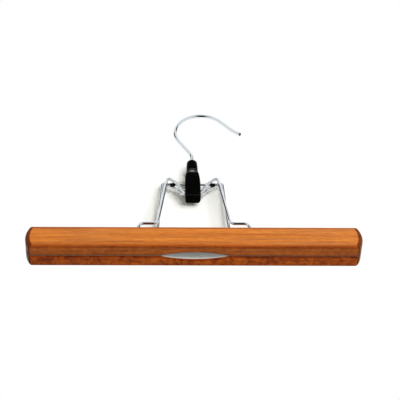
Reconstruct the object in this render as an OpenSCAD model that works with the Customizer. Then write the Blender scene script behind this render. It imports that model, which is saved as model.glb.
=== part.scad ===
// Trouser hanger with two wooden clamp bars on chrome wire frames.
// X runs along the bars, Y from the front bar to the rear bar, Z up to the hook.
// The origin is where the rail touches the hook, straight above the swivel axis.
// It is drawn closed: the weight has pulled the pin up between the ears of both frames.

/* [Bars] */
// Length of each wooden bar
bar_length = 260; // [200:1:340]
// Height of each wooden bar
bar_height = 21.5; // [16:0.5:30]
// Thickness of each wooden bar
bar_thickness = 10.45; // [8:0.05:14]
// How far the rounded ends of a bar stand out at mid height
bar_end_bulge = 3.1; // [1:0.1:6]
// Radius of the outer upright corner at each end of a bar
bar_corner_radius = 3; // [1:0.5:8]
// Radius along the outer long edges of a bar
bar_outer_edge = 1.5; // [0.5:0.1:3]
// Radius along the inner long edges of a bar
bar_inner_edge = 1.1; // [0.3:0.1:2]
// From the rail down to the underside of the bars
bar_drop = 161.6; // [150:0.1:190]
// Width of the shallow relief at the middle of a bar
relief_width = 53; // [30:1:90]
// Depth of the relief at its middle
relief_depth = 3.3; // [1:0.1:5]

/* [Felt] */
// Thickness of each felt strip
felt_thickness = 0.5; // [0.3:0.05:2]
// How far the felt stays back from the edges of its bar
felt_setback = 1; // [0.3:0.1:3]
// Gap between the two felts when the hanger is closed and empty
felt_gap = 0.1; // [0.05:0.05:1]

/* [Frames] */
// Diameter of the wire of both frames
frame_wire = 2.6; // [2:0.1:3.2]
// Half the distance between the two pegs of a frame
peg_reach = 43.1; // [34:0.1:70]
// How deep a peg goes into its bar
peg_depth = 12; // [8:0.5:15]
// Height of the centre of a foot above the top of its bar
foot_rise = 8.7; // [4:0.1:14]
// Half the distance between the lower ends of the two legs
leg_reach = 28.6; // [24:0.1:32]
// Radius of the bends at the foot and the peg
foot_bend = 4; // [2.5:0.1:5]
// Half the distance between the tips of the front frame's ears
front_ear_reach = 19; // [16:0.1:19.4]
// Half the distance between the tips of the rear frame's ears
rear_ear_reach = 22.7; // [22:0.1:26]
// Height of the centre of the front ears' tips above the pivots
front_ear_rise = 13.8; // [11:0.1:15]
// Height of the centre of the rear ears' tips above the pivots
rear_ear_rise = 12.5; // [11:0.1:15]
// Radius of the bend at the tip of an ear
ear_bend = 1.7; // [1.5:0.1:2.4]
// Radius of the bend beside the pivot, at the foot of the V
pivot_bend = 3; // [2:0.1:3.4]
// How far a wire runs outward on its way from the pivot up to its knee
knee_reach = 3.4; // [3:0.1:4]
// Radius of the bend at a knee, where a wire starts to rise to its ear
knee_bend = 5; // [3:0.5:6]
// Radius of the slight bend in a leg, level with the knees
leg_bend = 20; // [10:1:30]

/* [Lock] */
// From the rail down to the pivots of the frames
pivot_drop = 90.4; // [84:0.1:110]
// Distance between the pivots of the two frames
pivot_spacing = 3.5; // [3.2:0.1:4.5]
// How far each jaw turns when the cap is pressed
open_angle = 4; // [2:0.5:4]
// Travel of the lock body, from the pin's seat up to the cap
stroke = 2.8; // [2:0.1:4]
// Height of the cross pin above the pivots
pin_lever = 9; // [7:0.1:10]
// Diameter of the cross pin
pin_diameter = 1.6; // [1.2:0.1:2]
// Diameter of the black sleeves on the ends of the pin
sleeve_diameter = 2.8; // [2.4:0.1:3.6]
// Inner end of a sleeve, from the middle of the hanger
sleeve_start = 14; // [13:0.1:16]
// Outer end of a sleeve, from the middle of the hanger
sleeve_end = 20.6; // [20:0.1:22]
// Width of the lock body at its lower half
body_width = 12.6; // [11:0.1:14]
// Width of the lock body at its top
body_top_width = 8.9; // [8:0.1:11]
// Depth of the lock body from front to back
body_depth = 10.1; // [8.8:0.1:12]
// Depth of the lock body at its top
body_top_depth = 8.1; // [7.6:0.1:9]
// Height of the lock body above the pivots
body_above_pivot = 20.8; // [18:0.1:26]
// Height of the lock body below the pivots
body_below_pivot = 7.7; // [5:0.1:12]
// Radius along the lower edges of the lock body
body_foot_radius = 1.4; // [0.5:0.1:2]
// Radius of the upright corners at the front of the lock body
body_front_corner = 2.2; // [1:0.1:3.5]
// Radius of the upright corners at the back of the lock body
body_rear_corner = 4; // [2:0.1:4.2]
// Thickness of the plug's plate
plug_plate = 1.6; // [1:0.1:2.5]
// Width of the rim of the lock body round the plug
plug_rim = 1.1; // [0.8:0.1:1.4]
// Diameter of the stem
stem_diameter = 4.6; // [4:0.1:5]
// How far the stem reaches below the pin
stem_tail = 3; // [1.5:0.1:3.2]

/* [Cap] */
// Diameter of the cap at its lower edge
cap_diameter = 9.4; // [8.8:0.1:10]
// Height of the cap
cap_height = 11.9; // [11:0.1:14]
// Radius of the shoulder round the top of the cap
crown_radius = 1.7; // [1.2:0.1:2]
// How far the cap's side leans in by the foot of the shoulder
cap_lean = 0.4; // [0.2:0.1:0.5]
// Diameter of the bore of the cap below its ceiling
cap_bore = 6.4; // [6:0.1:6.6]
// Thickness of the stem's flange
flange_thickness = 2.6; // [1.5:0.1:3]
// Depth of the flange inside the lower edge of the cap
flange_recess = 0.4; // [0.2:0.1:0.8]

/* [Hook] */
// Diameter of the hook's wire
hook_wire = 3.4; // [3:0.1:4]
// Inner radius of the hook's bow
hook_inner_radius = 20.1; // [16:0.1:26]
// How far the centre of the bow stands to the side of the swivel axis
hook_offset = 8.5; // [4:0.1:11]
// Lean of the shank below the bow, from upright
shank_lean = 31; // [20:0.5:38]
// Radius of the bend at the foot of the shank
neck_bend = 9; // [5:0.5:11]
// Angle from level at which the bow ends, on the open side
bow_end_angle = 41; // [30:1:50]
// Length of the straight part between the bow and the flared tip
nose_length = 12.6; // [6:0.1:18]
// Radius of the bend of the flared tip
flare_bend = 20; // [10:1:30]
// Turn of the flared tip
flare_angle = 16; // [8:1:30]
// Length of the straight end of the flared tip, with its rounded end
tip_length = 5.1; // [3:0.1:8]
// Diameter of the head on the lower end of the hook
head_diameter = 5.4; // [5:0.1:5.8]
// Thickness of the head
head_thickness = 1.4; // [1:0.1:2]
// Thickness of the washer above the head
washer_thickness = 0.6; // [0.4:0.1:1]

/* [Fits] */
// Clearance round a shaft that turns or slides
running_clearance = 0.2; // [0.1:0.05:0.3]
// Clearance round the wires in the lock body
pivot_clearance = 0.15; // [0.1:0.05:0.2]
// Gap between the sides of the lock body and the wires beside it
side_gap = 0.3; // [0.1:0.1:0.6]
// Room below the stem when the cap is pressed down
stem_room = 0.2; // [0.1:0.1:0.6]
// Room in a bar below the end of a peg
peg_room = 0.3; // [0.1:0.1:1]
// Free height above the flange for the hook's head
head_play = 0.4; // [0.2:0.1:0.8]
// Gap between a sleeve and the wires beside it
wedge_gap = 0.15; // [0.1:0.05:0.3]
// Clearance of the pieces that are pressed or glued together
seat_clearance = 0.03; // [0.01:0.01:0.1]
// Gap between flat faces that turn on each other
face_gap = 0.05; // [0.02:0.01:0.2]

/* [Hidden] */
$fn = 96;
chrome = [0.82, 0.84, 0.86];
wood = [0.81, 0.5, 0.26];
black = [0.06, 0.06, 0.07];
white_felt = [0.93, 0.93, 0.9];

// A straight length of wire reaches this far into the bend beside it
weld = 0.1;
// A bend is thicker than the straight wire by this much, as bent wire is
bend_swell = 0.02;
// Cuts run past the faces that they open by this much
past = 1;
// The knees lie this much below the lowest place of the pin
knee_drop = 0.3;
// Width of the flat ring on the end of a sleeve
sleeve_end_flat = 0.1;
// From the tip of an ear to the corner of its path, outward and up, in bend radii
corner_way = [0.65, 1.12];

pivot_z = -pivot_drop;
pin_z = pivot_z + pin_lever;
body_top = pivot_z + body_above_pivot;
body_bottom = pivot_z - body_below_pivot;
cap_bottom = body_top + stroke;
wire_radius = frame_wire / 2;
channel_radius = wire_radius + pivot_clearance;

// The ears lean in so that the sleeves just clear them both with the jaws closed and open
spread_at_pin = (sleeve_diameter + frame_wire) / 2 + wedge_gap;
ear_lean = sin(open_angle) * (pin_lever - stroke) / stroke;
knee_lever = pin_lever - stroke - knee_drop;
function spread(lever) = spread_at_pin + (pin_lever - lever) * ear_lean;

bar_bottom = -bar_drop;
bar_top = bar_bottom + bar_height;
bar_inner = felt_gap / 2 + felt_thickness;
bar_middle = bar_inner + bar_thickness / 2;
relief_radius = (pow(relief_width / 2, 2) + pow(relief_depth, 2)) / (2 * relief_depth);
relief_centre = bar_inner + relief_depth - relief_radius;

function unit(v) = v / norm(v);

// Turn of the path at point i
function turn(p, i) = acos(unit(p[i] - p[i - 1]) * unit(p[i + 1] - p[i]));

// Length of the straight path that the bend at point i takes up on each side
function taken(p, r, i) = i == 0 || i == len(p) - 1 ? 0 : r[i] * tan(turn(p, i) / 2);

// Steps of a bent wire through points p with bend radii r: [straight, roll, radius, turn]
function steps_through(p, r, x_axis, i = 0) =
  let (
    u = unit(p[i + 1] - p[i]),
    straight = norm(p[i + 1] - p[i]) - taken(p, r, i) - taken(p, r, i + 1)
  )
  i + 2 == len(p) ? [[straight, 0, 0, 0]] :
  let (
    a = turn(p, i + 1),
    n = unit(unit(p[i + 2] - p[i + 1]) - u * cos(a)),
    roll = atan2(cross(x_axis, n) * u, x_axis * n)
  )
  concat([[straight, roll, r[i + 1], a]], steps_through(p, r, n * cos(a) - u * sin(a), i + 1));

// Round wire that starts at the origin along +Z and follows its steps
module bent_wire(steps, d, i = 0) {
  length = round(steps[i][0] * 1000) / 1000;
  radius = steps[i][2];
  angle = steps[i][3];
  start = i == 0 ? 0 : weld;
  translate([0, 0, -start])
    cylinder(d = d, h = length + start + (angle > 0 ? weld : 0));
  if (angle > 0)
    translate([0, 0, length]) rotate([0, 0, steps[i][1]]) {
      translate([radius, 0, 0]) rotate([90, 0, 180])
        rotate_extrude(angle = angle) translate([radius, 0]) circle(d = d + bend_swell);
      if (i + 1 < len(steps))
        translate([radius, 0, 0]) rotate([0, angle, 0]) translate([-radius, 0, 0])
          bent_wire(steps, d, i + 1);
    }
}

// A rod with a round end, along +Z
module round_ended_rod(d, length) {
  rotate_extrude() {
    square([d / 2, length - d / 2]);
    intersection() {
      translate([0, length - d / 2]) circle(d = d);
      square([d / 2, length]);
    }
  }
}

hook_radius = hook_inner_radius + hook_wire / 2;
bow_centre_z = -sqrt(pow(hook_inner_radius, 2) - pow(hook_offset, 2));
bow_start_x = hook_offset - hook_radius * cos(shank_lean);
bow_start_z = bow_centre_z - hook_radius * sin(shank_lean);
shank_length = -bow_start_x / sin(shank_lean);
neck_z = bow_start_z - shank_length * cos(shank_lean);
neck_taken = neck_bend * tan(shank_lean / 2);
washer_top = cap_bottom + flange_recess + flange_thickness + head_thickness + washer_thickness
  + 3 * face_gap + head_play;
head_top = washer_top - washer_thickness - face_gap;
head_bottom = head_top - head_thickness;
bow_turn = 180 + shank_lean - bow_end_angle;

module hook() {
  color(chrome) {
    translate([0, 0, head_bottom]) {
      cylinder(d = head_diameter, h = head_thickness);
      bent_wire([
        [neck_z - neck_taken - head_bottom, 180, neck_bend, shank_lean],
        [shank_length - neck_taken, 180, hook_radius, bow_turn],
        [nose_length, 180, flare_bend, flare_angle]
      ], hook_wire);
    }
    hook_tip();
  }
}

// The end of the hook, placed from the end of the flare
module hook_tip() {
  heading = -(90 - bow_end_angle);
  end_x = hook_offset + hook_radius * cos(bow_end_angle) + nose_length * cos(heading);
  end_z = bow_centre_z + hook_radius * sin(bow_end_angle) + nose_length * sin(heading);
  flare_x = end_x + flare_bend * (sin(heading + flare_angle) - sin(heading));
  flare_z = end_z - flare_bend * (cos(heading + flare_angle) - cos(heading));
  tip_heading = heading + flare_angle;
  translate([flare_x, 0, flare_z]) rotate([0, 90 - tip_heading, 0]) translate([0, 0, -weld])
    round_ended_rod(hook_wire, tip_length + weld);
}

module hook_washer() {
  color(chrome)
    translate([0, 0, washer_top - washer_thickness]) difference() {
      cylinder(d = cap_bore - 2 * running_clearance, h = washer_thickness);
      translate([0, 0, -past])
        cylinder(d = hook_wire + 2 * running_clearance, h = washer_thickness + 2 * past);
    }
}

// Half outline of the cap: a side that leans in, under a rounded shoulder
module cap_outline() {
  side_height = cap_height - crown_radius;
  side_radius = (pow(side_height, 2) + pow(cap_lean, 2)) / (2 * cap_lean);
  shoulder = cap_diameter / 2 - cap_lean - crown_radius;
  intersection() {
    square([cap_diameter / 2, cap_height]);
    translate([cap_diameter / 2 - side_radius, 0]) circle(r = side_radius, $fn = 720);
    union() {
      square([cap_diameter / 2, side_height]);
      square([shoulder, cap_height]);
      translate([shoulder, side_height]) circle(r = crown_radius);
    }
  }
}

module push_cap() {
  color(black)
    translate([0, 0, cap_bottom]) difference() {
      rotate_extrude() cap_outline();
      translate([0, 0, -past])
        cylinder(d = cap_bore, h = washer_top + face_gap - cap_bottom + past);
      cylinder(d = hook_wire + 2 * running_clearance, h = cap_height + past);
    }
}

module stem() {
  stem_bottom = pin_z - stem_tail;
  flange_bottom = cap_bottom + flange_recess;
  color(black)
    difference() {
      union() {
        translate([0, 0, stem_bottom])
          cylinder(d = stem_diameter, h = flange_bottom - stem_bottom + flange_thickness);
        translate([0, 0, flange_bottom])
          cylinder(d = cap_bore - 2 * seat_clearance, h = flange_thickness);
      }
      translate([-stem_diameter, 0, pin_z]) rotate([0, 90, 0])
        cylinder(d = pin_diameter + 2 * seat_clearance, h = 2 * stem_diameter);
    }
}

module cross_pin() {
  color(chrome)
    translate([-sleeve_end + pin_diameter / 2, 0, pin_z]) rotate([0, 90, 0])
      cylinder(d = pin_diameter, h = 2 * sleeve_end - pin_diameter);
}

// A sleeve with rounded ends, closed at its outer end
module pin_sleeve() {
  length = sleeve_end - sleeve_start;
  rounding = (sleeve_diameter - pin_diameter) / 2 - sleeve_end_flat;
  difference() {
    rotate_extrude() {
      translate([0, rounding]) square([sleeve_diameter / 2, length - 2 * rounding]);
      square([sleeve_diameter / 2 - rounding, length]);
      for (at = [rounding, length - rounding])
        translate([sleeve_diameter / 2 - rounding, at]) circle(r = rounding);
    }
    translate([0, 0, -past])
      cylinder(d = pin_diameter + 2 * seat_clearance,
        h = length - pin_diameter / 2 + seat_clearance + past);
  }
}

module pin_sleeves() {
  color(black)
    for (side = [-1, 1])
      translate([side * sleeve_start, 0, pin_z]) rotate([0, side * 90, 0]) pin_sleeve();
}

// Front view of the lock body: upright below, arched in towards the top
module body_front_view() {
  arch_height = body_above_pivot - knee_lever;
  lean = (body_width - body_top_width) / 2;
  arch_radius = (pow(arch_height, 2) + pow(lean, 2)) / (2 * lean);
  straight = body_below_pivot + knee_lever;
  intersection() {
    translate([-body_width / 2, -body_below_pivot])
      square([body_width, body_below_pivot + body_above_pivot]);
    union() {
      translate([-body_width / 2, -body_below_pivot]) square([body_width, straight]);
      intersection_for (side = [-1, 1])
        translate([side * (arch_radius - body_width / 2), knee_lever])
          circle(r = arch_radius, $fn = 720);
    }
    union() {
      translate([-body_width / 2, -body_below_pivot + body_foot_radius])
        square([body_width, body_below_pivot + body_above_pivot]);
      translate([-body_width / 2 + body_foot_radius, -body_below_pivot])
        square([body_width - 2 * body_foot_radius, body_foot_radius + past]);
      for (side = [-1, 1])
        translate([side * (body_width / 2 - body_foot_radius), -body_below_pivot + body_foot_radius])
          circle(r = body_foot_radius);
    }
  }
}

// Side view of the lock body: the same form from the side
module body_side_view() {
  arch_height = body_above_pivot - knee_lever;
  lean = (body_depth - body_top_depth) / 2;
  arch_radius = (pow(arch_height, 2) + pow(lean, 2)) / (2 * lean);
  intersection() {
    union() {
      translate([-body_depth / 2, -body_below_pivot])
        square([body_depth, body_below_pivot + knee_lever]);
      intersection_for (side = [-1, 1])
        translate([side * (arch_radius - body_depth / 2), knee_lever])
          circle(r = arch_radius, $fn = 720);
    }
    union() {
      translate([-body_depth / 2, -body_below_pivot + body_foot_radius])
        square([body_depth, body_below_pivot + body_above_pivot]);
      translate([-body_depth / 2 + body_foot_radius, -body_below_pivot])
        square([body_depth - 2 * body_foot_radius, body_foot_radius + past]);
      for (side = [-1, 1])
        translate([side * (body_depth / 2 - body_foot_radius), -body_below_pivot + body_foot_radius])
          circle(r = body_foot_radius);
    }
  }
}

// Plan of the lock body, drawn smaller by inset: flatter in front, rounder at the back
module body_plan(inset) {
  half_width = body_width / 2 - inset;
  half_depth = body_depth / 2 - inset;
  front = body_front_corner - inset;
  rear = body_rear_corner - inset;
  translate([-half_width, front - half_depth])
    square([2 * half_width, 2 * half_depth - front - rear]);
  translate([front - half_width, -half_depth])
    square([2 * (half_width - front), half_depth]);
  translate([rear - half_width, -inset])
    square([2 * (half_width - rear), half_depth + inset]);
  for (side = [-1, 1]) {
    translate([side * (half_width - front), front - half_depth]) circle(r = front);
    translate([side * (half_width - rear), half_depth - rear]) circle(r = rear);
  }
}

// The solid form of the lock body, before anything is cut from it
module body_form() {
  height = body_above_pivot + body_below_pivot;
  intersection() {
    translate([0, 0, body_bottom]) linear_extrude(height) body_plan(0);
    translate([0, body_depth, pivot_z]) rotate([90, 0, 0])
      linear_extrude(2 * body_depth) body_front_view();
    translate([-body_width, 0, pivot_z]) rotate([90, 0, 90])
      linear_extrude(2 * body_width) body_side_view();
  }
}

module lock_body() {
  bore_bottom = pin_z - stroke - stem_tail - stem_room;
  slot_width = pin_diameter + 2 * running_clearance;
  color(black)
    difference() {
      body_form();
      translate([0, 0, bore_bottom])
        cylinder(d = stem_diameter + 2 * running_clearance, h = body_top - bore_bottom + past);
      translate([-body_width, -slot_width / 2, pin_z - stroke])
        cube([2 * body_width, slot_width, stroke]);
      for (z = [pin_z - stroke, pin_z])
        translate([-body_width, 0, z]) rotate([0, 90, 0])
          cylinder(d = slot_width, h = 2 * body_width);
      for (side = [-1, 1]) {
        translate([-body_width, side * pivot_spacing / 2, pivot_z]) rotate([0, 90, 0])
          cylinder(r = channel_radius, h = 2 * body_width);
        translate([-body_width, side * pivot_spacing / 2 - channel_radius, body_bottom - past])
          cube([2 * body_width, 2 * channel_radius, body_below_pivot + past]);
      }
      translate([0, 0, body_bottom - past]) linear_extrude(plug_plate + past) body_plan(plug_rim);
    }
}

module lock_plug() {
  tongue = 2 * (channel_radius - seat_clearance);
  color(black)
    difference() {
      intersection() {
        body_form();
        union() {
          translate([0, 0, body_bottom]) linear_extrude(plug_plate - seat_clearance)
            body_plan(plug_rim + seat_clearance);
          for (side = [-1, 1])
            translate([-body_width, side * pivot_spacing / 2 - tongue / 2, body_bottom])
              cube([2 * body_width, tongue, body_below_pivot]);
        }
      }
      for (side = [-1, 1])
        translate([-body_width, side * pivot_spacing / 2, pivot_z]) rotate([0, 90, 0])
          cylinder(r = channel_radius, h = 2 * body_width);
    }
}

// Half of a frame, from the middle of its V to the end of its peg.
// The ear's tip is the top of a bend, so the corner of its path lies above the tip.
module half_frame(ear_reach, ear_rise) {
  pivot_y = pivot_spacing / 2;
  foot_lever = bar_top + foot_rise - pivot_z;
  corner_x = body_width / 2 + side_gap + wire_radius;
  knee = [corner_x + knee_reach, spread(knee_lever), knee_lever];
  tip = [ear_reach, spread(ear_rise), ear_rise];
  foot = [leg_reach, bar_middle, foot_lever];
  rise_way = unit([tip.x - knee.x, tip.z - knee.z] + ear_bend * corner_way);
  fall_way = unit([foot.x - tip.x, foot.z - tip.z] - ear_bend * corner_way);
  half_turn = acos(rise_way * fall_way) / 2;
  up_way = unit(rise_way - fall_way);
  corner = [tip.x, tip.z - ear_bend] + up_way * ear_bend / cos(half_turn);
  leg_knee_part = (corner[1] - knee_lever) / (corner[1] - foot_lever);
  leg_knee = [corner[0] + (foot.x - corner[0]) * leg_knee_part, spread(knee_lever), knee_lever];
  path = [
    [0, pivot_y, 0],
    [corner_x, pivot_y, 0],
    knee,
    [corner[0], spread(corner[1]), corner[1]],
    leg_knee,
    foot,
    [peg_reach, bar_middle, foot_lever],
    [peg_reach, bar_middle, bar_top - peg_depth - pivot_z]
  ];
  bends = [0, pivot_bend, knee_bend, ear_bend, leg_bend, foot_bend, foot_bend, 0];
  translate([0, pivot_y, pivot_z]) rotate([0, 90, 0])
    bent_wire(steps_through(path, bends, [0, 0, -1]), frame_wire);
}

// A whole frame for the rear, both halves from one length of wire
module whole_frame(ear_reach, ear_rise) {
  half_frame(ear_reach, ear_rise);
  mirror([1, 0, 0]) half_frame(ear_reach, ear_rise);
}

module front_frame() {
  color(chrome) mirror([0, 1, 0]) whole_frame(front_ear_reach, front_ear_rise);
}

module rear_frame() {
  color(chrome) whole_frame(rear_ear_reach, rear_ear_rise);
}

// Front view of a bar, drawn smaller by inset, with ends that bulge out
module bar_front_view(inset) {
  length = bar_length - 2 * inset;
  height = bar_height - 2 * inset;
  end_radius = (pow(bar_height / 2, 2) + pow(bar_end_bulge, 2)) / (2 * bar_end_bulge) - inset;
  intersection() {
    translate([-length / 2, inset]) square([length, height]);
    union() {
      for (side = [-1, 1])
        translate([side * (length / 2 - end_radius), bar_height / 2])
          circle(r = end_radius, $fn = 200);
      translate([-length / 2 + end_radius, inset]) square([length - 2 * end_radius, height]);
    }
  }
}

// Plan of a bar: straight inner face with the relief, round outer corners
module bar_plan() {
  difference() {
    union() {
      translate([-bar_length / 2, bar_inner])
        square([bar_length, bar_thickness - bar_corner_radius]);
      translate([-bar_length / 2 + bar_corner_radius, bar_inner])
        square([bar_length - 2 * bar_corner_radius, bar_thickness]);
      for (side = [-1, 1])
        translate([side * (bar_length / 2 - bar_corner_radius),
          bar_inner + bar_thickness - bar_corner_radius]) circle(r = bar_corner_radius);
    }
    translate([0, relief_centre]) circle(r = relief_radius, $fn = 720);
  }
}

// Cross-section of a bar, with its long edges rounded
module bar_section() {
  outer = bar_inner + bar_thickness;
  translate([bar_inner + bar_inner_edge, 0])
    square([bar_thickness - bar_inner_edge - bar_outer_edge, bar_height]);
  translate([bar_inner, bar_inner_edge])
    square([2 * bar_inner_edge, bar_height - 2 * bar_inner_edge]);
  translate([outer - 2 * bar_outer_edge, bar_outer_edge])
    square([2 * bar_outer_edge, bar_height - 2 * bar_outer_edge]);
  for (at = [bar_inner_edge, bar_height - bar_inner_edge])
    translate([bar_inner + bar_inner_edge, at]) circle(r = bar_inner_edge);
  for (at = [bar_outer_edge, bar_height - bar_outer_edge])
    translate([outer - bar_outer_edge, at]) circle(r = bar_outer_edge);
}

// A bar for the rear, with two blind holes for the pegs of its frame
module wooden_bar() {
  reach = bar_inner + bar_thickness + past;
  difference() {
    intersection() {
      translate([0, reach, bar_bottom]) rotate([90, 0, 0]) linear_extrude(reach)
        bar_front_view(0);
      translate([0, 0, bar_bottom]) linear_extrude(bar_height) bar_plan();
      translate([-bar_length / 2, 0, bar_bottom]) rotate([90, 0, 90])
        linear_extrude(bar_length) bar_section();
    }
    for (side = [-1, 1])
      translate([side * peg_reach, bar_middle, bar_top - peg_depth - peg_room])
        cylinder(d = frame_wire + 2 * seat_clearance, h = peg_depth + peg_room + past);
  }
}

module front_bar() {
  color(wood) mirror([0, 1, 0]) wooden_bar();
}

module rear_bar() {
  color(wood) wooden_bar();
}

// Plan of a felt strip that follows the relief of its bar
module felt_plan() {
  difference() {
    union() {
      translate([-bar_length / 2, felt_gap / 2]) square([bar_length, felt_thickness]);
      intersection() {
        translate([0, relief_centre]) circle(r = relief_radius, $fn = 720);
        translate([-bar_length / 2, felt_gap / 2])
          square([bar_length, bar_thickness]);
      }
    }
    translate([0, relief_centre]) circle(r = relief_radius - felt_thickness, $fn = 720);
  }
}

module felt_strip() {
  intersection() {
    translate([0, 0, bar_bottom]) linear_extrude(bar_height) felt_plan();
    translate([0, bar_thickness, bar_bottom]) rotate([90, 0, 0]) linear_extrude(bar_thickness)
      bar_front_view(felt_setback);
  }
}

module front_felt() {
  color(white_felt) mirror([0, 1, 0]) felt_strip();
}

module rear_felt() {
  color(white_felt) felt_strip();
}

hook();
hook_washer();
push_cap();
stem();
cross_pin();
pin_sleeves();
lock_body();
lock_plug();
front_frame();
rear_frame();
front_bar();
rear_bar();
front_felt();
rear_felt();
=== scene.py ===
# %% [markdown]
# # A trouser hanger with two wooden clamp bars
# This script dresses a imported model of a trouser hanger: chrome wire, black plastic, lacquered
# wood and white felt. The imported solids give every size. Each step below builds one piece or
# one finish, says what it is on the real hanger, and prints what it made.

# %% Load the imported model
import math

import bpy
import numpy as np
from mathutils import Matrix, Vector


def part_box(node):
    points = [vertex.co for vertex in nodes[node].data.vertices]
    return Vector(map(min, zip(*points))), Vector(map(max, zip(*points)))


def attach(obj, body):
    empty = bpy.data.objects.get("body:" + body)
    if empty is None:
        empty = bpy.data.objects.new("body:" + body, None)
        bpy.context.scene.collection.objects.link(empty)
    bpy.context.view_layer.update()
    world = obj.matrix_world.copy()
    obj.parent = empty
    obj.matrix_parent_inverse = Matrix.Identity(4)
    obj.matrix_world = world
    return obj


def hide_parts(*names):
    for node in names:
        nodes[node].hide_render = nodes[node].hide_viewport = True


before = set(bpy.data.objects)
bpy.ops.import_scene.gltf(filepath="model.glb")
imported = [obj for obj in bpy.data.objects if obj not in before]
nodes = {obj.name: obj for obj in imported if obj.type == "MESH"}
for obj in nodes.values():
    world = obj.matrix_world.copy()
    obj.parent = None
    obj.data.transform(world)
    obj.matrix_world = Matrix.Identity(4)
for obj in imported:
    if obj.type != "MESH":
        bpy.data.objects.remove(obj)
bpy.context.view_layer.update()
print("solids:", sorted(nodes))

# %% [markdown]
# ## Sizes
# The script works in metres. The sizes below are those of the solids, so that each new piece
# lies where its solid lies. Z is up to the hook, X runs along the bars, and the rail bears on
# the hook at the origin. Sizes that only one piece needs stand beside that piece.

# %% Sizes in millimetres, turned into metres
MM = 0.001
BAR_LENGTH, BAR_HEIGHT, BAR_THICKNESS = 260 * MM, 21.5 * MM, 10.45 * MM
BAR_BOTTOM = -161.6 * MM
BAR_TOP = BAR_BOTTOM + BAR_HEIGHT
FELT_THICKNESS, FELT_GAP, FELT_SETBACK = 0.5 * MM, 0.1 * MM, 1 * MM
BAR_INNER = FELT_GAP / 2 + FELT_THICKNESS
BAR_OUTER = BAR_INNER + BAR_THICKNESS
BAR_MIDDLE = BAR_INNER + BAR_THICKNESS / 2
FRAME_WIRE, HOOK_WIRE = 2.6 * MM, 3.4 * MM
PIVOT_Z, PIVOT_SPACING = -90.4 * MM, 3.5 * MM
print("each bar, mm:", [round(size / MM, 2) for size in (BAR_LENGTH, BAR_THICKNESS, BAR_HEIGHT)])

# %% [markdown]
# ## Small helpers
# The pieces could be modelled by hand with modifiers. Here a mesh is made from a grid of points
# instead: a formula gives the points for two parameters, whole rows at a time, and the faces
# join each point to its neighbours. That keeps every size exact and easy to change.

# %% Grid mesh helpers
def grid_faces(rows, columns):
    """Quads between rows i and i + 1, columns j and j + 1; the last column joins the first."""
    i = np.arange(rows - 1)[:, None]
    j = np.arange(columns)[None, :]
    k = (j + 1) % columns
    quads = np.stack([i * columns + j, i * columns + k, (i + 1) * columns + k,
                      (i + 1) * columns + j], axis=-1)
    return [tuple(quad) for quad in quads.reshape(-1, 4)]


def fans(rows, columns):
    """Triangles that close both ends of a grid onto two points that follow it in the list."""
    count, last = rows * columns, (rows - 1) * columns
    following = [(j + 1) % columns for j in range(columns)]
    return ([(count, following[j], j) for j in range(columns)]
            + [(count + 1, last + j, last + following[j]) for j in range(columns)])


def make_mesh(name, points, faces, material, smooth=True):
    """A mesh object from points (n, 3) and a list of faces that look outward."""
    mesh = bpy.data.meshes.new(name)
    mesh.from_pydata(points.tolist(), [], [tuple(int(v) for v in f) for f in faces])
    mesh.validate()
    mesh.polygons.foreach_set("use_smooth", np.full(len(mesh.polygons), smooth))
    mesh.materials.append(material)
    mesh.update()
    piece = bpy.data.objects.new(name, mesh)
    bpy.context.scene.collection.objects.link(piece)
    print(f"{name}: {len(mesh.vertices)} points, {len(mesh.polygons)} faces")
    return piece


def store(piece, name, values):
    """Keeps one number for each point of the piece, for its material to read."""
    layer = piece.data.attributes.new(name, "FLOAT", "POINT")
    layer.data.foreach_set("value", np.asarray(values, np.float32))


def fade(distance, reach, width):
    """1 up to reach - width, falling evenly to 0 at reach."""
    return np.clip((reach - distance) / width, 0, 1)


# %% [markdown]
# ## Node helpers
# Every finish is a small tree of nodes. They could be placed one by one in the shader editor.
# A helper for each kind does the same in one line, so that a finish reads as a short recipe.
# All patterns are noise in the piece's own coordinates, because they then need no unwrapping
# and move with the piece.

# %% Material helpers
def new_material(name):
    """A material with its node tree and its Principled shader."""
    material = bpy.data.materials.new(name)
    material.use_nodes = True
    tree = material.node_tree
    return material, tree, tree.nodes["Principled BSDF"]


def connect(tree, value, socket):
    """Links an output to the socket, or sets the socket to a number, a vector or a colour."""
    if isinstance(value, bpy.types.NodeSocket):
        tree.links.new(value, socket)
    else:
        socket.default_value = (*value, 1.0) if socket.type == "RGBA" else value


def set_inputs(tree, node, **values):
    """Connects inputs of a node by their names, with _ for a space."""
    for name, value in values.items():
        connect(tree, value, node.inputs[name.replace("_", " ")])


def add(tree, kind, **settings):
    """A node of that kind, with settings for its properties or its inputs."""
    node = tree.nodes.new(kind)
    for name, value in settings.items():
        if hasattr(node, name):
            setattr(node, name, value)
        else:
            set_inputs(tree, node, **{name: value})
    return node


def coordinate(tree, axis=None, kind="Object"):
    """The piece's own coordinates, or one of them."""
    place = add(tree, "ShaderNodeTexCoord").outputs[kind]
    return add(tree, "ShaderNodeSeparateXYZ", Vector=place).outputs[axis] if axis else place


def stored(tree, name):
    """The number that store() kept under that name, or 0 on a piece that keeps none."""
    return add(tree, "ShaderNodeAttribute", attribute_name=name).outputs["Fac"]


def noise(tree, cells, detail=3.0, rough=0.5, distort=0.0):
    """Noise in the piece's own coordinates, with so many cells per metre along X, Y and Z."""
    mapping = add(tree, "ShaderNodeMapping", Vector=coordinate(tree), Scale=cells)
    return add(tree, "ShaderNodeTexNoise", Vector=mapping.outputs["Vector"], Scale=1.0,
               Detail=detail, Roughness=rough, Distortion=distort).outputs["Fac"]


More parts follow.
